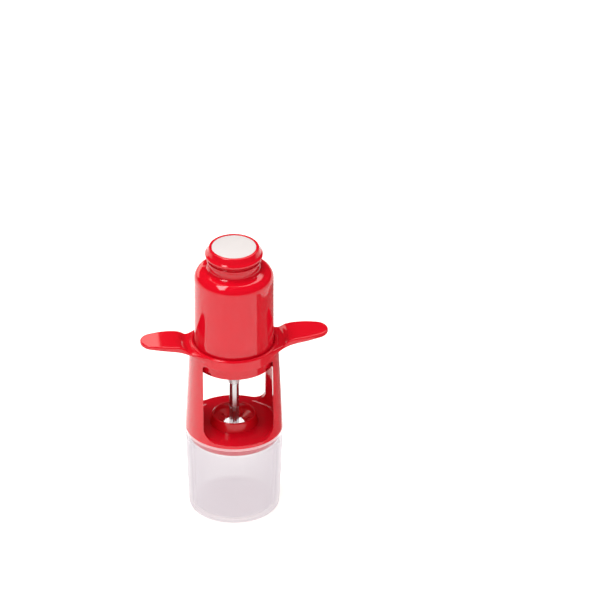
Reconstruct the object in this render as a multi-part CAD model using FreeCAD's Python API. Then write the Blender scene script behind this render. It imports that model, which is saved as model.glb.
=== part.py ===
import FreeCAD, Part
import math
import os
from FreeCAD import Vector

# Hand cherry pitter: a sprung plunger in a barrel, over a windowed chamber with finger wings and a pit cup.
# Millimetres, +Z up, origin at the centre of the cup's foot, wings along X, windows towards -Y and +Y.
# The plunger is modelled pressed down.

# Pit cup
cup_height = 43.8
cup_narrowing = 1.9
cup_wall = 1.5
cup_floor = 1.6
cup_foot_corner = 1.8
cup_foot_ring = 2.0
cup_foot_recess = 0.7

# Winged chamber
chamber_height = 49.1
chamber_widening = 2.3
chamber_wall = 1.8
chamber_floor = 2.1
band_height = 5.5
leg_depth = 4.4
window_corner = 6.5
window_top_corner = 1.5
spigot_depth = 4.8
spigot_bead = 0.1

# Finger wings
wing_overhang = 24.7
wing_root_angle = 54.0
wing_waist_out = 2.9
wing_waist_half_width = 8.9
wing_blade_out = 11.8
wing_blade_half_width = 8.1
wing_tip_radius = 6.6
wing_tip_angle = 75.0
wing_hollow_out = 1.2
wing_hollow_drop = 0.6
wing_climb_out = 4.6
wing_climb_rise = 1.2
wing_blade_rise = 2.8
wing_tip_rise = 3.1
wing_thickness = 2.7
wing_tip_thickness = 2.1
wing_edge_radius = 0.7

# Cherry seat
seat_radius = 11.9
seat_draft = 1.1
seat_wall = 1.0
seat_height = 4.8
seat_web = 1.3
seat_shoulder = 1.9
seat_snap = 0.7
pit_hole_radius = 5.0
seat_slot_width = 1.0
seat_slot_reach = 2.6
seat_slot_count = 8

# Barrel
barrel_radius = 19.5
barrel_wall = 2.0
barrel_side_height = 39.5
shoulder_corner = 5.0
shoulder_rise = 1.8
neck_radius = 12.6
neck_wall = 1.2
neck_height = 6.1
rib_height = 1.5
rib_proud = 0.7
rib_below_top = 0.8
foot_depth = 11.5
foot_step = 0.35
foot_step_below_top = 0.8
foot_bead = 0.35
foot_bead_height = 1.2
foot_bead_below_top = 2.4
notch_angle = 47.0
notch_width = 2.8
notch_height = 1.2
notch_up = 0.6

# Plunger
bush_wall = 1.1
bush_flange_width = 2.6
bush_flange_thickness = 1.5
stem_wall = 1.5
stem_flange_thickness = 2.0
stem_end_wall = 2.4
cap_overhang = 0.9
cap_height = 4.8
cap_gap = 1.0
cap_lip_round = 0.5
cap_top_round = 3.0
cap_socket_depth = 2.3
pad_rim_width = 3.3
pad_depth = 1.3
pad_crown = 0.35

# Pitting rod and its guide
rod_radius = 2.4
rod_tip_height = 40.0
rod_point = 1.2
rod_flute_length = 14.0
rod_flute_radius = 1.1
rod_flute_count = 4
rod_head_overhang = 2.1
rod_head_thickness = 1.2
guide_tube_wall = 0.72
guide_tube_length = 22.2
guide_flange_width = 1.0
guide_flange_thickness = 0.8
plate_inset = 7.9
plate_thickness = 1.6
plate_bead = 0.3
plate_boss_wall = 2.0
plate_boss_depth = 7.0
spring_seat_height = 1.5

# Return spring
spring_wire = 1.0
spring_turns = 8
spring_end_turns = 1
spring_closed_pitch = 1.5
spring_wire_sides = 8
spring_side_gap = 0.5

# Clearances
running_clearance = 0.08
push_fit_clearance = 0.15
snap_clearance = 0.05
free_clearance = 0.3
face_gap = 0.2
light_break = 0.4

# Heights that follow from the sizes above
chamber_foot = cup_height + face_gap
floor_top = chamber_foot + chamber_floor
collar_top = chamber_foot + chamber_height
window_top = collar_top - band_height
barrel_foot = collar_top - foot_depth
barrel_side_top = collar_top + barrel_side_height
neck_foot = barrel_side_top + shoulder_rise
neck_top = neck_foot + neck_height
cap_foot = neck_top + cap_gap
cap_top = cap_foot + cap_height
plate_foot = barrel_foot + plate_inset
plate_top = plate_foot + plate_thickness
stem_foot = plate_top + free_clearance
stem_top = cap_foot + cap_socket_depth
spring_top = stem_top - stem_end_wall
shoulder_ceiling = barrel_side_top - barrel_wall / 2
plunger_stop = shoulder_ceiling - bush_flange_thickness - free_clearance
plunger_travel = plunger_stop - stem_foot - stem_flange_thickness

# Radii that follow from the sizes above
foot_radius = barrel_radius + foot_step
collar_bore = foot_radius + snap_clearance
collar_radius = collar_bore + chamber_wall
chamber_foot_radius = collar_radius + chamber_widening
cup_rim_radius = chamber_foot_radius
cup_foot_radius = cup_rim_radius - cup_narrowing
half_window = collar_radius - leg_depth
wing_reach = collar_radius + wing_overhang
seat_neck_radius = seat_radius - seat_shoulder
barrel_bore = barrel_radius - barrel_wall
neck_bore = neck_radius - neck_wall
bush_bore = neck_bore - bush_wall
stem_radius = bush_bore - running_clearance
stem_bore = stem_radius - stem_wall
cap_radius = neck_radius + rib_proud + cap_overhang
pad_radius = cap_radius - pad_rim_width
rod_head_radius = rod_radius + rod_head_overhang
guide_bore = rod_radius + running_clearance
guide_tube_radius = guide_bore + guide_tube_wall
spring_radius = stem_bore - spring_side_gap - spring_wire / 2

axis_up = Vector(0, 0, 1)
centre = Vector(0, 0, 0)


def side_view(across, height):
    return Vector(across, 0, height)


def plan_view(across, along):
    return Vector(across, along, 0)


# Start, middle and end of one corner: a straight cut where it is small, and otherwise an arc
def corner_bend(before, corner, after, radius):
    back = (before - corner).normalize()
    ahead = (after - corner).normalize()
    if radius <= light_break:
        return corner + back * radius, None, corner + ahead * radius
    half_angle = back.getAngle(ahead) / 2
    reach = radius / math.tan(half_angle)
    inward = (back + ahead).normalize()
    arc_centre = corner + inward * (radius / math.sin(half_angle))
    return corner + back * reach, arc_centre - inward * radius, corner + ahead * reach


# Closed outline from corners, each (across, height) or (across, height, corner size)
def outline(corners, view=side_view):
    points = [view(*corner[:2]) for corner in corners]
    bends = []
    for index, point in enumerate(points):
        if len(corners[index]) > 2:
            after = points[(index + 1) % len(points)]
            bends.append(corner_bend(points[index - 1], point, after, corners[index][2]))
        else:
            bends.append((point, None, point))
    edges = []
    for index, (start, middle, end) in enumerate(bends):
        if middle is not None:
            edges.append(Part.Arc(start, middle, end).toShape())
        elif start.distanceToPoint(end) > 1e-6:
            edges.append(Part.LineSegment(start, end).toShape())
        following = bends[(index + 1) % len(bends)][0]
        if end.distanceToPoint(following) > 1e-6:
            edges.append(Part.LineSegment(end, following).toShape())
    return Part.Wire(edges)


def turned(corners):
    return Part.Face(outline(corners)).revolve(centre, axis_up, 360)


def rod(radius, low, high):
    return Part.makeCylinder(radius, high - low, Vector(0, 0, low))


# Radius of a cone at a height, from its radius at two other heights
def taper(height, low, low_radius, high, high_radius):
    return low_radius + (high_radius - low_radius) * (height - low) / (high - low)


def cup_bore(height):
    return taper(height, 0, cup_foot_radius, cup_height, cup_rim_radius) - cup_wall


def chamber_radius(height):
    return taper(height, chamber_foot, chamber_foot_radius, collar_top, collar_radius)


def around(shape, count):
    return [shape.rotated(centre, axis_up, turn * 360 / count) for turn in range(count)]


# Tapered cup that stands on a narrow foot ring
def make_pit_cup():
    recess_radius = cup_foot_radius - cup_foot_corner - cup_foot_ring
    floor_top_radius = cup_bore(cup_foot_recess + cup_floor)
    return turned([
        (0, cup_foot_recess),
        (recess_radius, cup_foot_recess),
        (recess_radius + cup_foot_recess, 0),
        (cup_foot_radius, 0, cup_foot_corner),
        (cup_rim_radius, cup_height, light_break),
        (cup_bore(cup_height), cup_height, light_break),
        (floor_top_radius, cup_foot_recess + cup_floor, cup_foot_corner),
        (0, cup_foot_recess + cup_floor),
    ])


# Smooth curve through points, with its direction given at the ends
def smooth_curve(points, start_direction, end_direction):
    curve = Part.BSplineCurve()
    curve.interpolate(Points=points, InitialTangent=start_direction, FinalTangent=end_direction)
    return curve


# Seen from above, a leaf towards +X that grows out of the collar's rim
def wing_plan():
    root_angle = math.radians(wing_root_angle)
    root = plan_view(collar_radius * math.cos(root_angle), collar_radius * math.sin(root_angle))
    along_rim = Vector(math.sin(root_angle), -math.cos(root_angle), 0)
    tip_angle = math.radians(wing_tip_angle)
    tip_out = Vector(math.cos(tip_angle), math.sin(tip_angle), 0) * wing_tip_radius
    tip_start = plan_view(wing_reach - wing_tip_radius, 0) + tip_out
    along_tip = Vector(math.sin(tip_angle), -math.cos(tip_angle), 0)
    edge = smooth_curve([
        root,
        plan_view(collar_radius + wing_waist_out, wing_waist_half_width),
        plan_view(collar_radius + wing_blade_out, wing_blade_half_width),
        tip_start,
    ], along_rim, along_tip).toShape()
    other_edge = edge.mirror(centre, Vector(0, 1, 0))
    tip = Part.Arc(tip_start, plan_view(wing_reach, 0), plan_view(tip_start.x, -tip_start.y)).toShape()
    chord = Part.LineSegment(plan_view(root.x, -root.y), root).toShape()
    return Part.Face(Part.Wire([chord, edge, tip, other_edge]))


# Half of a wing's section: its top leaves a hollow round the collar, climbs and levels out,
# and its underside is arched for a finger
def wing_section(start):
    climb = collar_radius + wing_climb_out
    blade = collar_radius + wing_blade_out
    past_tip = wing_reach + wing_edge_radius
    root_foot = window_top + light_break
    root_top = collar_top - wing_hollow_drop
    top = smooth_curve([
        side_view(collar_radius + wing_hollow_out, root_top),
        side_view(climb, collar_top + wing_climb_rise),
        side_view(blade, collar_top + wing_blade_rise),
        side_view(past_tip, collar_top + wing_tip_rise),
    ], Vector(1, 0, 0), Vector(1, 0, 0))
    under = smooth_curve([
        side_view(past_tip, collar_top + wing_tip_rise - wing_tip_thickness),
        side_view(blade, collar_top + wing_blade_rise - wing_thickness),
        side_view(climb, collar_top + wing_climb_rise - wing_thickness),
        side_view(collar_bore, root_foot),
    ], Vector(-1, 0, 0), Vector(-1, 0, -1))
    corners = [
        under.EndPoint,
        side_view(start, root_foot),
        side_view(start, root_top),
        top.StartPoint,
    ]
    root_edges = Part.makePolygon(corners).Edges
    tip_edge = Part.LineSegment(top.EndPoint, under.StartPoint).toShape()
    return Part.Face(Part.Wire([top.toShape(), tip_edge, under.toShape()] + root_edges))


# The section turned about the barrel's axis, within the leaf and outside the collar's middle
def make_wing():
    low = window_top - band_height
    high = collar_top + band_height
    plan = wing_plan()
    leaf = plan.extrude(Vector(0, 0, high - low)).translated(Vector(0, 0, low))
    blank = wing_section(plan.BoundBox.XMin / 2).revolve(centre, axis_up, 180).rotated(centre, axis_up, -90)
    wing = leaf.common(blank)
    rims = [edge for edge in wing.Edges if edge.BoundBox.XLength > wing_edge_radius]
    wing = wing.makeFillet(wing_edge_radius, rims)
    inside = rod((collar_radius + collar_bore) / 2, low, high)
    return wing.cut(inside)


# Tapered tube with two finger wings, a front and a back window between two legs, a floor and a spigot
def make_winged_chamber():
    spigot_foot = chamber_foot - spigot_depth
    spigot_foot_radius = cup_bore(spigot_foot) - push_fit_clearance
    spigot_top_radius = cup_bore(cup_height) - push_fit_clearance
    bead_height = spigot_foot + spigot_depth / 3
    bead_radius = cup_bore(bead_height) - push_fit_clearance
    seat_hole = seat_neck_radius + snap_clearance
    groove_foot = collar_top - foot_bead_below_top - foot_bead_height / 2
    body = turned([
        (seat_hole, chamber_foot),
        (spigot_foot_radius - chamber_wall, chamber_foot, light_break),
        (spigot_foot_radius - chamber_wall, spigot_foot),
        (spigot_foot_radius, spigot_foot, light_break),
        (bead_radius, bead_height - light_break),
        (bead_radius + spigot_bead, bead_height),
        (bead_radius, bead_height + light_break),
        (spigot_top_radius, chamber_foot),
        (chamber_foot_radius, chamber_foot, light_break),
        (collar_radius, collar_top, 2 * light_break),
        (collar_bore, collar_top, light_break),
        (collar_bore, groove_foot + foot_bead_height),
        (collar_bore + foot_bead, groove_foot + foot_bead_height / 2),
        (collar_bore, groove_foot),
        (collar_bore, window_top),
        (chamber_radius(floor_top) - chamber_wall, floor_top, chamber_wall),
        (seat_hole, floor_top),
    ])
    wing = make_wing()
    body = body.fuse([wing, wing.rotated(centre, axis_up, 180)])
    depth = 4 * chamber_foot_radius
    window = Part.Face(outline([
        (-half_window, floor_top, window_corner),
        (half_window, floor_top, window_corner),
        (half_window, window_top, window_top_corner),
        (-half_window, window_top, window_top_corner),
    ])).extrude(Vector(0, depth, 0))
    return body.cut(window.translated(Vector(0, -depth / 2, 0))).removeSplitter()


# Raised ring with a dished web, a pit hole and flexing slots, snapped into the chamber's floor
def make_cherry_seat():
    top_radius = seat_radius - seat_draft
    inner = top_radius - seat_wall
    seat_top = floor_top + seat_height
    neck_foot_height = chamber_foot - seat_snap
    dish_top = floor_top + seat_height / 2
    dish_foot = floor_top
    seat = turned([
        (pit_hole_radius, dish_foot - seat_web, light_break),
        (seat_neck_radius - seat_wall - light_break, dish_foot - seat_web + light_break, light_break),
        (seat_neck_radius - seat_wall, neck_foot_height - light_break),
        (seat_neck_radius + light_break, neck_foot_height - light_break),
        (seat_neck_radius + seat_snap, chamber_foot),
        (seat_neck_radius, chamber_foot),
        (seat_neck_radius, floor_top),
        (seat_radius, floor_top),
        (top_radius, seat_top, light_break),
        (inner, seat_top, light_break),
        (inner, dish_top, light_break),
        (pit_hole_radius, dish_foot, light_break),
    ])
    slot = Part.makeBox(
        pit_hole_radius + seat_slot_reach, seat_slot_width, seat_height * 2,
        Vector(0, -seat_slot_width / 2, floor_top - seat_height),
    )
    return seat.cut(slot_star(slot))


def slot_star(slot):
    slots = around(slot, seat_slot_count)
    return slots[0].fuse(slots[1:])


# Bottle-shaped housing: a foot that snaps into the collar, a rounded shoulder and a ribbed neck
def make_barrel():
    rib_top = neck_top - rib_below_top
    rib_foot = rib_top - rib_height
    step = collar_top - foot_step_below_top
    bead_middle = collar_top - foot_bead_below_top
    groove_middle = plate_foot + plate_thickness / 2
    groove_radius = barrel_bore + plate_bead
    body = turned([
        (barrel_bore, barrel_foot, light_break),
        (foot_radius, barrel_foot, light_break),
        (foot_radius, bead_middle - foot_bead_height / 2),
        (foot_radius + foot_bead, bead_middle),
        (foot_radius, bead_middle + foot_bead_height / 2),
        (foot_radius, step),
        (barrel_radius, step + foot_step),
        (barrel_radius, barrel_side_top, shoulder_corner),
        (neck_radius, neck_foot, 2 * light_break),
        (neck_radius, rib_foot),
        (neck_radius + rib_proud, rib_foot, rib_height / 3),
        (neck_radius + rib_proud, rib_top, rib_height / 3),
        (neck_radius, rib_top),
        (neck_radius, neck_top, light_break),
        (neck_bore, neck_top),
        (neck_bore, shoulder_ceiling),
        (barrel_bore, shoulder_ceiling, shoulder_corner - barrel_wall),
        (barrel_bore, groove_middle + plate_bead),
        (groove_radius, groove_middle),
        (barrel_bore, groove_middle - plate_bead),
    ])
    notch = Part.Face(outline([
        (-notch_width / 2, barrel_foot + notch_up, notch_height / 3),
        (notch_width / 2, barrel_foot + notch_up, notch_height / 3),
        (notch_width / 2, barrel_foot + notch_up + notch_height, notch_height / 3),
        (-notch_width / 2, barrel_foot + notch_up + notch_height, notch_height / 3),
    ])).extrude(Vector(0, 2 * foot_radius, 0))
    turns = [notch_angle, -notch_angle, 180 + notch_angle, 180 - notch_angle]
    return body.cut([notch.rotated(centre, axis_up, turn) for turn in turns])


# Lining of the neck, with a flange under the shoulder that stops the plunger
def make_neck_bush():
    flange_foot = shoulder_ceiling - bush_flange_thickness
    return turned([
        (bush_bore, flange_foot, light_break),
        (neck_bore + bush_flange_width, flange_foot, light_break),
        (neck_bore + bush_flange_width, shoulder_ceiling),
        (neck_bore, shoulder_ceiling),
        (neck_bore, neck_top),
        (bush_bore, neck_top, light_break),
    ])


# Hollow stem with a guiding flange at its foot and an end wall that holds the rod's head
def make_plunger_stem():
    flange_radius = barrel_bore - free_clearance
    flange_top = stem_foot + stem_flange_thickness
    return turned([
        (stem_bore, stem_foot, light_break),
        (flange_radius, stem_foot, light_break),
        (flange_radius, flange_top, light_break),
        (stem_radius, flange_top, light_break),
        (stem_radius, stem_top, light_break),
        (rod_head_radius + snap_clearance, stem_top),
        (rod_head_radius + snap_clearance, stem_top - rod_head_thickness),
        (rod_radius + snap_clearance, stem_top - rod_head_thickness),
        (rod_radius + snap_clearance, spring_top),
        (stem_bore, spring_top),
    ])


# Ring-shaped thumb cap with a socket for the stem below and a recess for the pad above
def make_plunger_cap():
    pad_foot = cap_top - pad_depth
    recess_radius = pad_radius + snap_clearance
    return turned([
        (0, stem_top),
        (stem_radius, stem_top),
        (stem_radius, cap_foot),
        (cap_radius, cap_foot, cap_lip_round),
        (cap_radius, cap_top, cap_top_round),
        (recess_radius, cap_top),
        (recess_radius, pad_foot),
        (0, pad_foot),
    ])


# Slightly crowned disc in the cap
def make_thumb_pad():
    rim_top = cap_top - light_break / 2
    crown_radius = (pad_radius ** 2 + pad_crown ** 2) / (2 * pad_crown)
    crown_centre = Vector(0, 0, rim_top + pad_crown - crown_radius)
    disc = rod(pad_radius, cap_top - pad_depth, cap_top + pad_crown)
    return disc.common(Part.makeSphere(crown_radius, crown_centre))


# Steel rod with a head in the stem and a fluted, blunt-pointed tip
def make_pitting_rod():
    head_foot = stem_top - rod_head_thickness
    body = turned([
        (0, rod_tip_height),
        (rod_radius - rod_point / 2, rod_tip_height, light_break),
        (rod_radius, rod_tip_height + rod_point, light_break),
        (rod_radius, head_foot),
        (rod_head_radius, head_foot),
        (rod_head_radius, stem_top, light_break),
        (0, stem_top),
    ])
    flute_top = rod_tip_height + rod_flute_length
    flute = rod(rod_flute_radius, rod_tip_height - rod_flute_radius, flute_top)
    flute = flute.fuse(Part.makeSphere(rod_flute_radius, Vector(0, 0, flute_top)))
    flute = flute.translated(Vector(rod_radius + rod_flute_radius / 3, 0, 0))
    flute = flute.rotated(centre, axis_up, 180 / rod_flute_count)
    return body.cut(around(flute, rod_flute_count))


# Clear sleeve round the rod, hung by its flange in the guide plate
def make_needle_guide():
    flange_radius = guide_tube_radius + guide_flange_width
    tube_foot = plate_top - guide_tube_length
    return turned([
        (guide_bore, tube_foot),
        (guide_tube_radius, tube_foot, guide_tube_wall / 3),
        (guide_tube_radius, plate_top - guide_flange_thickness),
        (flange_radius, plate_top - guide_flange_thickness),
        (flange_radius, plate_top),
        (guide_bore, plate_top),
    ])


# Plate snapped into the barrel, with a boss for the needle guide and a ring that centres the spring
def make_guide_plate():
    flange_seat = guide_tube_radius + guide_flange_width + snap_clearance
    tube_seat = guide_tube_radius + snap_clearance
    boss_radius = tube_seat + plate_boss_wall
    boss_foot = plate_foot - plate_boss_depth
    edge_radius = barrel_bore - snap_clearance
    edge_middle = plate_foot + plate_thickness / 2
    seat_outer = spring_radius - spring_wire / 2 - 2 * snap_clearance
    return turned([
        (tube_seat, boss_foot),
        (boss_radius, boss_foot, light_break),
        (boss_radius, plate_foot, light_break),
        (edge_radius, plate_foot),
        (edge_radius, edge_middle - plate_bead),
        (edge_radius + plate_bead, edge_middle),
        (edge_radius, edge_middle + plate_bead),
        (edge_radius, plate_top),
        (seat_outer, plate_top),
        (seat_outer, plate_top + spring_seat_height, light_break),
        (flange_seat, plate_top + spring_seat_height),
        (flange_seat, plate_top - guide_flange_thickness),
        (tube_seat, plate_top - guide_flange_thickness),
    ])


# Height of the spring's wire after a number of turns, with closer turns at both ends
def spring_height(turn):
    low = plate_top + spring_wire / 2 + snap_clearance
    high = spring_top - spring_wire / 2 - snap_clearance
    end_rise = spring_end_turns * spring_closed_pitch
    open_turns = spring_turns - 2 * spring_end_turns
    open_rise = high - low - 2 * end_rise
    if turn <= spring_end_turns:
        return low + turn * spring_closed_pitch
    if turn >= spring_turns - spring_end_turns:
        return high - (spring_turns - turn) * spring_closed_pitch
    part_way = (turn - spring_end_turns) / open_turns
    return low + end_rise + open_rise * part_way


def spring_point(turn):
    angle = 2 * math.pi * turn
    return Vector(spring_radius * math.cos(angle), spring_radius * math.sin(angle), spring_height(turn))


def spring_direction(turn):
    angle = 2 * math.pi * turn
    step = 0.05
    rise = spring_height(min(turn + step, spring_turns)) - spring_height(max(turn - step, 0))
    span = min(turn + step, spring_turns) - max(turn - step, 0)
    around_rate = 2 * math.pi * spring_radius
    return Vector(-around_rate * math.sin(angle), around_rate * math.cos(angle), rise / span).normalize()


# Arc from one point towards another, through the corner where their equal tangents meet
def tangent_arc(start, corner, end):
    chord_middle = (start + end) * 0.5
    half_chord = start.distanceToPoint(end) / 2
    lean = math.atan2(chord_middle.distanceToPoint(corner), half_chord)
    bulge = (corner - chord_middle).normalize() * (half_chord * math.tan(lean / 2))
    return Part.Arc(start, chord_middle + bulge, end).toShape()


# Two arcs that join two points and keep the direction at each
def two_arcs(start, start_direction, end, end_direction):
    span = end - start
    both = start_direction + end_direction
    square = both.dot(both) - 4
    reach = (span.dot(both) - math.sqrt(span.dot(both) ** 2 - square * span.dot(span))) / square
    first_corner = start + start_direction * reach
    last_corner = end - end_direction * reach
    meeting = (first_corner + last_corner) * 0.5
    return [tangent_arc(start, first_corner, meeting), tangent_arc(meeting, last_corner, end)]


# Corners of the wire's section where the spring starts
def wire_section():
    start = spring_point(0)
    outward = Vector(1, 0, 0)
    upward = outward.cross(spring_direction(0))
    corners = []
    for side in range(spring_wire_sides + 1):
        angle = 2 * math.pi * side / spring_wire_sides
        corners.append(start + (outward * math.cos(angle) + upward * math.sin(angle)) * (spring_wire / 2))
    return corners


# Compression spring with closer turns at its ends, its wire's section kept to a few sides
def make_return_spring():
    path = []
    for half_turn in range(2 * spring_turns):
        here = half_turn / 2
        there = here + 0.5
        start = spring_point(here)
        end = spring_point(there)
        path += two_arcs(start, spring_direction(here), end, spring_direction(there))
    section = Part.Wire(Part.makePolygon(wire_section()))
    gaps = [
        spring_point(turn).distanceToPoint(spring_point(turn + 1)) - spring_wire
        for turn in range(spring_turns)
    ]
    print("spring: least gap between turns", round(min(gaps), 2))
    return Part.Wire(path).makePipeShell([section], True, True)


nodes = {
    "pit_cup": make_pit_cup(),
    "winged_chamber": make_winged_chamber(),
    "cherry_seat": make_cherry_seat(),
    "barrel": make_barrel(),
    "neck_bush": make_neck_bush(),
    "plunger_stem": make_plunger_stem(),
    "plunger_cap": make_plunger_cap(),
    "thumb_pad": make_thumb_pad(),
    "pitting_rod": make_pitting_rod(),
    "needle_guide": make_needle_guide(),
    "guide_plate": make_guide_plate(),
    "return_spring": make_return_spring(),
}

os.makedirs("parts", exist_ok=True)
for name, shape in nodes.items():
    shape.exportStep("parts/" + name + ".step")
    box = shape.BoundBox
    print(name, shape.isValid(), len(shape.Solids), round(shape.Volume, 1))
    print("  from", round(box.ZMin, 2), "to", round(box.ZMax, 2))
print("plunger travel", round(plunger_travel, 2))
print("cap top", round(cap_top, 2))
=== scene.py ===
import math
import bmesh
import bpy
from mathutils import Matrix, Vector


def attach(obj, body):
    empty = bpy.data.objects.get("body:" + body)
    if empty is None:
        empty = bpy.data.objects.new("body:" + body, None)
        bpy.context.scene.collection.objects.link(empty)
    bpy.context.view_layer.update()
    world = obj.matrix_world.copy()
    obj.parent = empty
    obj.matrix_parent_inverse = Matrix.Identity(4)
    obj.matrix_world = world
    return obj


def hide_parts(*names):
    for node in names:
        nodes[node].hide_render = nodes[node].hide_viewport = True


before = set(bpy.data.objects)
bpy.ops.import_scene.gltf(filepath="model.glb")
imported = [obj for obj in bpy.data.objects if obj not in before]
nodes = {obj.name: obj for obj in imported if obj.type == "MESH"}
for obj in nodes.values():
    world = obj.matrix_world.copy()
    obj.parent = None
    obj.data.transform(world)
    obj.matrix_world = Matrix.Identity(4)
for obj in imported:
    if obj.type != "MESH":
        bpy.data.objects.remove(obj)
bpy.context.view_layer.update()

# Hand cherry pitter, +Z up, with the front window towards -Y and the finger wings along X.
# The CAD nodes give the shapes, and this file their finish, a fuller cap, the neck's hollow
# corner and the studio. Sizes are in millimetres for the pieces and for every speckSize, and
# in metres for the rest of the studio.

perMetre = 1000  # millimetres
print("frame loaded with", len(nodes), "nodes")


# A socket of a shader: an expression on it adds Math nodes, and node() adds any other
class Wire:
    def __init__(self, tree, socket=None):
        self.tree = tree
        self.socket = socket

    def node(self, kind, settings=None, inputs=None, output=0):
        made = self.tree.nodes.new(kind)
        for key, value in (settings or {}).items():
            setattr(made, key, value)
        for key, value in (inputs or {}).items():
            if isinstance(value, Wire):
                self.tree.links.new(value.socket, made.inputs[key])
            else:
                made.inputs[key].default_value = value
        return Wire(self.tree, made.outputs[output] if len(made.outputs) else None)

    def maths(self, operation, first, second=0):
        return self.node("ShaderNodeMath", {"operation": operation}, {0: first, 1: second})

    def __add__(self, other):
        return self.maths("ADD", self, other)

    def __radd__(self, other):
        return self.maths("ADD", other, self)

    def __sub__(self, other):
        return self.maths("SUBTRACT", self, other)

    def __rsub__(self, other):
        return self.maths("SUBTRACT", other, self)

    def __mul__(self, other):
        return self.maths("MULTIPLY", self, other)

    def __rmul__(self, other):
        return self.maths("MULTIPLY", other, self)

    def __truediv__(self, other):
        return self.maths("DIVIDE", self, other)

    def __rtruediv__(self, other):
        return self.maths("DIVIDE", other, self)


# A new material, the wire its nodes start from, and its places in millimetres
def startFinish(name):
    material = bpy.data.materials.new(name)
    material.use_nodes = True
    material.node_tree.nodes.clear()
    wire = Wire(material.node_tree)
    place = wire.node("ShaderNodeTexCoord", output="Object")
    place = wire.node("ShaderNodeVectorMath", {"operation": "SCALE"}, {0: place, "Scale": perMetre})
    return material, wire, place


def endFinish(wire, shader):
    wire.node("ShaderNodeOutputMaterial", inputs={"Surface": shader})


# Noise from 0 to 1 whose patches are about size millimetres across
def patches(wire, place, size, detail=2.0):
    return wire.node("ShaderNodeTexNoise", inputs={"Vector": place, "Scale": 1 / size, "Detail": detail})


# Two colours mixed by a wire
def mixColours(wire, share, low, high):
    return wire.node("ShaderNodeMix", {"data_type": "RGBA"}, {0: share, 6: low, 7: high}, output=2)


def dress(node, material):
    mesh = nodes[node].data
    mesh.materials.clear()
    mesh.materials.append(material)


# Points in millimetres of a profile of (radius, height, corner size), its corners as arcs
def roundedProfile(corners, steps=8):
    points = []
    for index, (radius, height, size) in enumerate(corners):
        here = Vector((radius, height))
        if size == 0:
            points.append(here)
            continue
        back = (Vector(corners[index - 1][:2]) - here).normalized()
        ahead = (Vector(corners[(index + 1) % len(corners)][:2]) - here).normalized()
        half = back.angle(ahead) / 2
        middle = here + (back + ahead).normalized() * (size / math.sin(half))
        start = here + back * (size / math.tan(half)) - middle
        end = here + ahead * (size / math.tan(half)) - middle
        for step in range(steps + 1):
            points.append(middle + start.lerp(end, step / steps).normalized() * size)
    return points


# A profile turned about the pitter's axis, smooth but for edges sharper than sharpFrom degrees
def turnedPiece(name, corners, closed=False, steps=160, weld=1e-6, sharpFrom=40):
    shape = bmesh.new()
    points = []
    for point in roundedProfile(corners):
        points.append(shape.verts.new((point.x / perMetre, 0, point.y / perMetre)))
    pairs = list(zip(points, points[1:]))
    if closed:
        pairs.append((points[-1], points[0]))
    lines = [shape.edges.new(pair) for pair in pairs]
    bmesh.ops.spin(shape, geom=points + lines, axis=(0, 0, 1), angle=2 * math.pi, steps=steps)
    bmesh.ops.remove_doubles(shape, verts=shape.verts, dist=weld)
    bmesh.ops.recalc_face_normals(shape, faces=shape.faces)
    mesh = bpy.data.meshes.new(name)
    shape.to_mesh(mesh)
    shape.free()
    mesh.shade_smooth()
    mesh.set_sharp_from_angle(angle=math.radians(sharpFrom))
    piece = bpy.data.objects.new(name, mesh)
    bpy.context.scene.collection.objects.link(piece)
    return piece


# Glossy moulded plastic: slow changes of shade, faint smears in the gloss,
# the slight waviness of a moulded skin, and edges rounded by a hair
def mouldedGloss(name, look):
    material, wire, place = startFinish(name)
    shade = patches(wire, place, look["shadeSize"])
    colour = mixColours(wire, shade, (*look["deep"], 1), (*look["light"], 1))
    smear = patches(wire, place, look["smearSize"], detail=4.0)
    roughness = look["gloss"] + (smear - 0.5) * look["smear"]
    skin = patches(wire, place, look["skinSize"], detail=1.0)
    edge = wire.node("ShaderNodeBevel", {"samples": 6}, {"Radius": look["edge"] / perMetre})
    bump = wire.node("ShaderNodeBump", inputs={
        "Strength": 1.0, "Distance": look["skinDepth"] / perMetre, "Height": skin, "Normal": edge,
    })
    shader = wire.node("ShaderNodeBsdfPrincipled", inputs={
        "Base Color": colour, "Roughness": roughness, "IOR": look["ior"], "Normal": bump,
    })
    endFinish(wire, shader)
    return material


wingedChamber = {
    "deep": (0.575, 0.0022, 0.011), "light": (0.61, 0.0035, 0.014), "shadeSize": 25.0,
    "gloss": 0.09, "smear": 0.05, "smearSize": 9.0,
    "skinSize": 3.5, "skinDepth": 0.004, "edge": 0.30, "ior": 1.50,
}
dress("winged_chamber", mouldedGloss("chamberRed", wingedChamber))

barrel = {
    "deep": (0.575, 0.0022, 0.011), "light": (0.61, 0.0035, 0.014), "shadeSize": 30.0,
    "gloss": 0.05, "smear": 0.03, "smearSize": 11.0,
    "skinSize": 4.0, "skinDepth": 0.004, "edge": 0.25, "ior": 1.50,
}
barrelRed = mouldedGloss("barrelRed", barrel)
dress("barrel", barrelRed)

# The hollow corner where the neck grows out of the shoulder, as a ring sunk into both
neckCorner = {
    "neckRadius": 12.6, "foot": 134.4, "shoulderRadius": 19.5, "shoulderFall": 1.8,
    "size": 1.6, "sunk": 0.25, "edgeSunk": 0.01,
}


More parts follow.
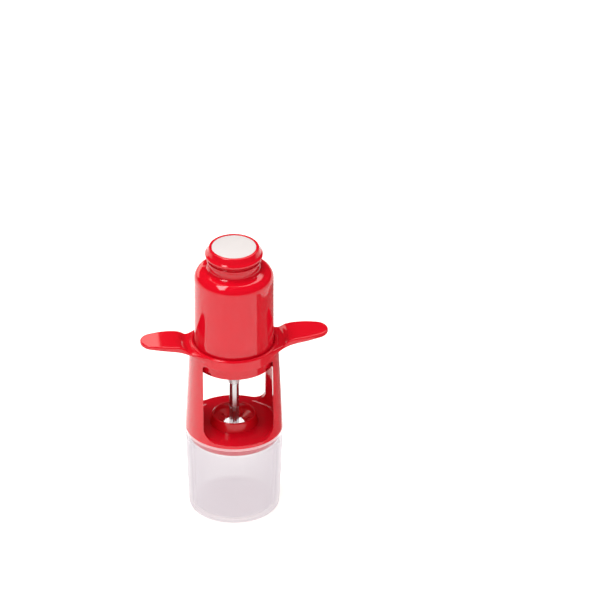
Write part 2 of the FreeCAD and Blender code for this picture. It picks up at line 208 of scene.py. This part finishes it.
def makeNeckCorner(look):
    neck = look["neckRadius"]
    foot = look["foot"]
    size = look["size"]
    sunk = look["sunk"]
    edgeSunk = look["edgeSunk"]
    fall = look["shoulderFall"] / (look["shoulderRadius"] - neck) * size
    piece = turnedPiece("neckCorner", [
        (neck - edgeSunk, foot + size, 0),
        (neck - edgeSunk, foot - edgeSunk, size),
        (neck + size, foot - edgeSunk - fall, 0),
        (neck + size - sunk, foot - sunk * 2 - fall, 0),
        (neck - sunk, foot - sunk, 0),
        (neck - sunk, foot + size - sunk, 0),
    ], closed=True)
    piece.data.materials.append(barrelRed)
    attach(piece, "housing")


makeNeckCorner(neckCorner)

# The cap's side is a cone that flares into a thin lip, with the pad's recess in its top
plungerCap = {
    "deep": (0.575, 0.0022, 0.011), "light": (0.61, 0.0035, 0.014), "shadeSize": 12.0,
    "gloss": 0.10, "smear": 0.06, "smearSize": 5.0,
    "skinSize": 2.5, "skinDepth": 0.003, "edge": 0.20, "ior": 1.50,
    "stemRadius": 10.32, "foot": 141.5, "lipRadius": 14.2, "lipTop": 142.7, "lipRound": 0.45,
    "flareRadius": 13.35, "flareTop": 143.5, "flareSize": 2.0,
    "shoulderRadius": 12.25, "top": 146.3, "topRound": 0.7,
    "recessRadius": 10.95, "recessFoot": 145.0, "recessRound": 0.12, "underside": 0.6,
}


def makeCap(look):
    cap = turnedPiece("capTurned", [
        (0, look["foot"] + look["underside"], 0),
        (look["stemRadius"], look["foot"] + look["underside"], 0),
        (look["stemRadius"], look["foot"], 0),
        (look["lipRadius"], look["foot"], look["lipRound"]),
        (look["lipRadius"], look["lipTop"], look["lipRound"]),
        (look["flareRadius"], look["flareTop"], look["flareSize"]),
        (look["shoulderRadius"], look["top"], look["topRound"]),
        (look["recessRadius"], look["top"], look["recessRound"]),
        (look["recessRadius"], look["recessFoot"], 0),
        (0, look["recessFoot"], 0),
    ])
    cap.data.materials.append(mouldedGloss("capRed", look))
    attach(cap, "plunger")
    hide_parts("plunger_cap")


makeCap(plungerCap)
print("neck corner and cap turned")

cherrySeat = {
    "deep": (0.58, 0.004, 0.011), "light": (0.63, 0.006, 0.014), "shadeSize": 10.0,
    "gloss": 0.16, "smear": 0.08, "smearSize": 4.0,
    "skinSize": 1.8, "skinDepth": 0.004, "edge": 0.25, "ior": 1.48,
}
dress("cherry_seat", mouldedGloss("seatRed", cherrySeat))

neckBush = {
    "deep": (0.56, 0.003, 0.010), "light": (0.61, 0.005, 0.013), "shadeSize": 8.0,
    "gloss": 0.20, "smear": 0.06, "smearSize": 4.0,
    "skinSize": 1.5, "skinDepth": 0.003, "edge": 0.15, "ior": 1.50,
}
dress("neck_bush", mouldedGloss("bushRed", neckBush))

plungerStem = {
    "deep": (0.57, 0.003, 0.010), "light": (0.62, 0.005, 0.013), "shadeSize": 18.0,
    "gloss": 0.14, "smear": 0.08, "smearSize": 6.0,
    "skinSize": 2.5, "skinDepth": 0.003, "edge": 0.15, "ior": 1.50,
}
dress("plunger_stem", mouldedGloss("stemRed", plungerStem))

thumbPad = {
    "deep": (0.555, 0.515, 0.50), "light": (0.60, 0.555, 0.54), "shadeSize": 7.0,
    "gloss": 0.38, "smear": 0.10, "smearSize": 3.0,
    "skinSize": 0.5, "skinDepth": 0.010, "edge": 0.20, "ior": 1.48,
}
dress("thumb_pad", mouldedGloss("padWhite", thumbPad))

guidePlate = {
    "deep": (0.78, 0.77, 0.74), "light": (0.86, 0.85, 0.82), "shadeSize": 8.0,
    "gloss": 0.32, "smear": 0.08, "smearSize": 4.0,
    "skinSize": 0.8, "skinDepth": 0.006, "edge": 0.15, "ior": 1.48,
}
dress("guide_plate", mouldedGloss("plateWhite", guidePlate))
print("moulded finishes made")


# See-through plastic: a little colour and haze in a thin wall, uneven by a few percent. It is
# hazier where the wall is seen at a slant, clearer in a band at its top, and painted paler on its rim as
# a highlight.
# It also glows with its own colour, painted light that evens out its shade.
def hazyPlastic(name, look):
    material, wire, place = startFinish(name)
    shade = patches(wire, place, look["shadeSize"], detail=3.0)
    cloud = patches(wire, place, look["cloudSize"], detail=4.0)
    height = wire.node("ShaderNodeSeparateXYZ", inputs={0: place}, output="Z")
    rim = wire.node("ShaderNodeMapRange", inputs={
        "Value": height, "From Min": look["rimFoot"], "From Max": look["rimFoot"] + look["rimBlur"],
    })
    colour = mixColours(wire, shade, (*look["deep"], 1), (*look["light"], 1))
    # Painted highlight: the colour turns pale on the rim.
    colour = mixColours(wire, rim, colour, (*look["rimPaintedHighlight"], 1))
    band = wire.node("ShaderNodeMapRange", inputs={
        "Value": height, "From Min": look["bandFoot"], "From Max": look["bandFoot"] + look["bandBlur"],
    })
    slant = wire.node("ShaderNodeLayerWeight", inputs={"Blend": look["slantCurve"]}, output="Facing")
    haze = look["haze"] + (cloud - 0.5) * look["cloud"] + slant * look["slantHaze"]
    haze = haze + rim * look["rimHaze"] - band * look["bandClear"]
    skin = patches(wire, place, look["skinSize"], detail=3.0)
    roughness = look["gloss"] + (skin - 0.5) * look["smear"]
    bump = wire.node("ShaderNodeBump", inputs={
        "Strength": 1.0, "Distance": look["skinDepth"] / perMetre, "Height": skin,
    })
    # Painted light: the emission makes the wall glow with its own colour, evening out its shade.
    shader = wire.node("ShaderNodeBsdfPrincipled", inputs={
        "Base Color": colour, "Roughness": roughness, "IOR": look["ior"], "Alpha": haze, "Normal": bump,
        "Specular IOR Level": look["shine"], "Emission Color": colour, "Emission Strength": look["glow"],
    })
    endFinish(wire, shader)
    return material


# The glow and the pale rim are painted light: a glow that evens the cup's shade, and a highlight on its
# rim.
pitCup = {
    "deep": (0.285, 0.261, 0.279), "light": (0.300, 0.275, 0.293), "shadeSize": 20.0,
    "haze": 0.29, "cloud": 0.02, "cloudSize": 6.0, "slantHaze": 0.72, "slantCurve": 0.2,
    "glow": 1.43, "shine": 0.10, "bandFoot": 38.3, "bandBlur": 0.5, "bandClear": 0.22,
    "rimFoot": 42.9, "rimBlur": 0.2, "rimHaze": 0.22, "rimPaintedHighlight": (0.54, 0.50, 0.51),
    "gloss": 0.40, "smear": 0.06, "skinSize": 1.2, "skinDepth": 0.002, "ior": 1.35,
}
dress("pit_cup", hazyPlastic("cupFrosted", pitCup))

needleGuide = {
    "deep": (0.88, 0.88, 0.89), "light": (0.95, 0.95, 0.96), "shadeSize": 5.0,
    "haze": 0.28, "cloud": 0.06, "cloudSize": 2.0, "slantHaze": 0.20, "slantCurve": 0.2,
    "glow": 0.0, "shine": 0.5, "bandFoot": 200.0, "bandBlur": 0.5, "bandClear": 0.0,
    "rimFoot": 90.2, "rimBlur": 0.2, "rimHaze": 0.2, "rimPaintedHighlight": (0.95, 0.95, 0.96),
    "gloss": 0.08, "smear": 0.04, "skinSize": 1.0, "skinDepth": 0.002, "ior": 1.49,
}
dress("needle_guide", hazyPlastic("guideClear", needleGuide))
print("see-through finishes made")


# Steel with fine lines that run round the piece or along it
def drawnSteel(name, look):
    material, wire, place = startFinish(name)
    stretched = wire.node("ShaderNodeVectorMath", {"operation": "MULTIPLY"}, {0: place, 1: look["grain"]})
    lines = wire.node("ShaderNodeTexNoise", inputs={"Vector": stretched, "Scale": 1.0, "Detail": 5.0})
    tone = patches(wire, place, look["toneSize"], detail=3.0)
    colour = mixColours(wire, tone, (*look["deep"], 1), (*look["light"], 1))
    roughness = look["gloss"] + (lines - 0.5) * look["lineGloss"]
    bump = wire.node("ShaderNodeBump", inputs={
        "Strength": 1.0, "Distance": look["lineDepth"] / perMetre, "Height": lines,
    })
    shader = wire.node("ShaderNodeBsdfPrincipled", inputs={
        "Base Color": colour, "Metallic": 1.0, "Roughness": roughness, "Normal": bump,
    })
    endFinish(wire, shader)
    return material


pittingRod = {
    "deep": (0.50, 0.50, 0.51), "light": (0.62, 0.62, 0.63), "toneSize": 6.0,
    "grain": (0.4, 0.4, 9.0), "gloss": 0.24, "lineGloss": 0.16, "lineDepth": 0.003,
}
dress("pitting_rod", drawnSteel("rodSteel", pittingRod))

returnSpring = {
    "deep": (0.42, 0.42, 0.43), "light": (0.55, 0.55, 0.56), "toneSize": 3.0,
    "grain": (5.0, 5.0, 1.0), "gloss": 0.30, "lineGloss": 0.14, "lineDepth": 0.003,
}
dress("return_spring", drawnSteel("springSteel", returnSpring))
print("steel finishes made")


# The place that the camera looks at is across and up from the cup's foot, in the picture's plane
camera = {
    "azimuth": -8.0, "elevation": 31.7, "distance": 12.0, "across": 0.0323, "up": 0.0984,
    "pictureWidth": 0.2951, "sensor": 36.0, "near": 0.05, "far": 50.0,
}


def makeCamera(look):
    around = math.radians(look["azimuth"])
    rise = math.radians(look["elevation"])
    back = Vector((math.sin(around) * math.cos(rise), -math.cos(around) * math.cos(rise), math.sin(rise)))
    right = Vector((math.cos(around), math.sin(around), 0))
    up = back.cross(right)
    data = bpy.data.cameras.new("camera")
    data.sensor_width = look["sensor"]
    data.lens = look["sensor"] * look["distance"] / look["pictureWidth"]
    data.clip_start = look["near"]
    data.clip_end = look["far"]
    made = bpy.data.objects.new("camera", data)
    bpy.context.scene.collection.objects.link(made)
    made.matrix_world = Matrix.Translation(
        right * look["across"] + up * look["up"] + back * look["distance"]
    ) @ Matrix((right, up, back)).transposed().to_4x4()
    bpy.context.scene.camera = made


makeCamera(camera)


# A soft box of light that faces its aim
def softBox(name, look):
    data = bpy.data.lights.new(name, "AREA")
    data.shape = "RECTANGLE"
    data.size, data.size_y = look["size"]
    data.energy = look["power"]
    data.color = look["tint"]
    made = bpy.data.objects.new(name, data)
    bpy.context.scene.collection.objects.link(made)
    made.location = look["place"]
    aim = Vector(look["aim"]) - Vector(look["place"])
    made.rotation_euler = aim.to_track_quat("-Z", "Y").to_euler()
    made.visible_camera = False
    made.visible_glossy = look["mirrored"]


softBox("boxWindow", {
    "place": (-0.14, -0.10, 1.25), "aim": (0, 0, 0.12), "size": (0.75, 0.45),
    "power": 12.0, "tint": (1.0, 1.0, 1.0), "mirrored": False,
})
softBox("boxFront", {
    "place": (-0.5, -1.5, 1.0), "aim": (0, 0, 0.08), "size": (1.6, 1.2),
    "power": 6.0, "tint": (1.0, 1.0, 1.0), "mirrored": False,
})
softBox("cardBehind", {
    "place": (-0.0605, 0.08, 0.1515), "aim": (-0.0605, 0, 0.120), "size": (0.076, 0.030),
    "power": 0.015, "tint": (1.0, 0.97, 0.90), "mirrored": True,
})


# A flat sheet that stands in the studio and isn't part of the object
def studioSheet(name, corners, material):
    mesh = bpy.data.meshes.new(name)
    mesh.from_pydata(corners, [], [(0, 1, 2, 3)])
    mesh.materials.append(material)
    made = bpy.data.objects.new(name, mesh)
    bpy.context.scene.collection.objects.link(made)
    return made


# A grey flag at the right that only mirroring surfaces see
flag = {
    "x": 0.070, "front": -0.05, "back": 0.14, "top": 0.09,
    "grey": (0.30, 0.26, 0.25), "speck": (0.34, 0.30, 0.29), "speckSize": 20.0, "gloss": 0.9,
}


def makeFlag(look):
    material, wire, place = startFinish("flagGrey")
    specks = patches(wire, place, look["speckSize"])
    shader = wire.node("ShaderNodeBsdfPrincipled", inputs={
        "Base Color": mixColours(wire, specks, (*look["grey"], 1), (*look["speck"], 1)),
        "Roughness": look["gloss"],
    })
    endFinish(wire, shader)
    made = studioSheet("flag", [
        (look["x"], look["front"], 0), (look["x"], look["back"], 0),
        (look["x"], look["back"], look["top"]), (look["x"], look["front"], look["top"]),
    ], material)
    made.visible_camera = False
    made.visible_shadow = False
    made.visible_diffuse = False
    made.visible_transmission = False


makeFlag(flag)

floor = {
    "size": 10.0, "height": -0.00005, "white": (0.93, 0.93, 0.93), "speck": (0.90, 0.90, 0.90),
    "speckSize": 40.0, "gloss": 0.9, "shine": 0.1, "glow": 0.35, "glowTint": (1.0, 0.96, 0.86),
}


def makeFloor(look):
    material, wire, place = startFinish("floorWhite")
    specks = patches(wire, place, look["speckSize"])
    shader = wire.node("ShaderNodeBsdfPrincipled", inputs={
        "Base Color": mixColours(wire, specks, (*look["speck"], 1), (*look["white"], 1)),
        "Roughness": look["gloss"], "Specular IOR Level": look["shine"],
        "Emission Color": (*look["glowTint"], 1), "Emission Strength": look["glow"],
    })
    endFinish(wire, shader)
    half = look["size"] / 2
    corners = [(-half, -half, 0), (half, -half, 0), (half, half, 0), (-half, half, 0)]
    made = studioSheet("floor", corners, material)
    made.location.z = look["height"]


makeFloor(floor)

# The room: it lights evenly and is seen as white. It is mirrored as dark, with a bright stretch
# above and behind, and a bright window above and to the left. The window's middle, width and
# height are steps across and back on a ceiling one unit up.
room = {
    "fill": 0.60, "backdrop": 1.0, "dark": 0.03,
    "bright": 3.5, "towards": (0.15, 0.50, 0.853), "rim": 0.915, "middle": 0.950,
    "window": 9.0, "windowPlace": (-0.50, -0.19), "windowWidth": (0.46, 0.15),
    "windowHeight": (0.49, 0.87), "windowBlur": 0.10, "horizon": 0.05,
}


def makeRoom(look):
    world = bpy.data.worlds.new("room")
    world.use_nodes = True
    world.node_tree.nodes.clear()
    wire = Wire(world.node_tree)
    direction = wire.node("ShaderNodeTexCoord", output="Generated")
    closeness = wire.node("ShaderNodeVectorMath", {"operation": "DOT_PRODUCT"}, {
        0: direction, 1: look["towards"],
    }, output="Value")
    behind = wire.node("ShaderNodeMapRange", {"interpolation_type": "SMOOTHSTEP"}, {
        "Value": closeness, "From Min": look["rim"], "From Max": look["middle"],
        "To Min": look["dark"], "To Max": look["bright"],
    })
    east, north, height = [
        wire.node("ShaderNodeSeparateXYZ", inputs={0: direction}, output=axis) for axis in "XYZ"
    ]
    ceiling = wire.maths("MAXIMUM", height, look["horizon"])
    across = east / ceiling - look["windowPlace"][0]
    back = north / ceiling - look["windowPlace"][1]
    wide = look["windowWidth"]
    tall = look["windowHeight"]
    area = wide[0] * tall[1] - wide[1] * tall[0]
    alongWidth = (across * tall[1] - back * tall[0]) * (1 / area)
    alongHeight = (back * wide[0] - across * wide[1]) * (1 / area)
    edge = wire.maths("MAXIMUM", wire.maths("ABSOLUTE", alongWidth), wire.maths("ABSOLUTE", alongHeight))
    window = wire.node("ShaderNodeMapRange", {"interpolation_type": "SMOOTHSTEP"}, {
        "Value": edge, "From Min": 0.5 - look["windowBlur"], "From Max": 0.5 + look["windowBlur"],
        "To Min": look["window"], "To Max": 0.0,
    })
    seen = wire.node("ShaderNodeLightPath", output="Is Camera Ray")
    mirrored = wire.node("ShaderNodeLightPath", output="Is Glossy Ray")
    white = look["fill"] + seen * (look["backdrop"] - look["fill"])
    even = wire.node("ShaderNodeBackground", inputs={"Color": (1, 1, 1, 1), "Strength": white})
    gloss = wire.node("ShaderNodeBackground", inputs={"Color": (1, 1, 1, 1), "Strength": behind + window})
    both = wire.node("ShaderNodeMixShader", inputs={0: mirrored, 1: even, 2: gloss})
    wire.node("ShaderNodeOutputWorld", inputs={"Surface": both})
    bpy.context.scene.world = world


makeRoom(room)
bpy.context.scene.view_settings.view_transform = "Standard"
print("camera, lights, floor and room made")
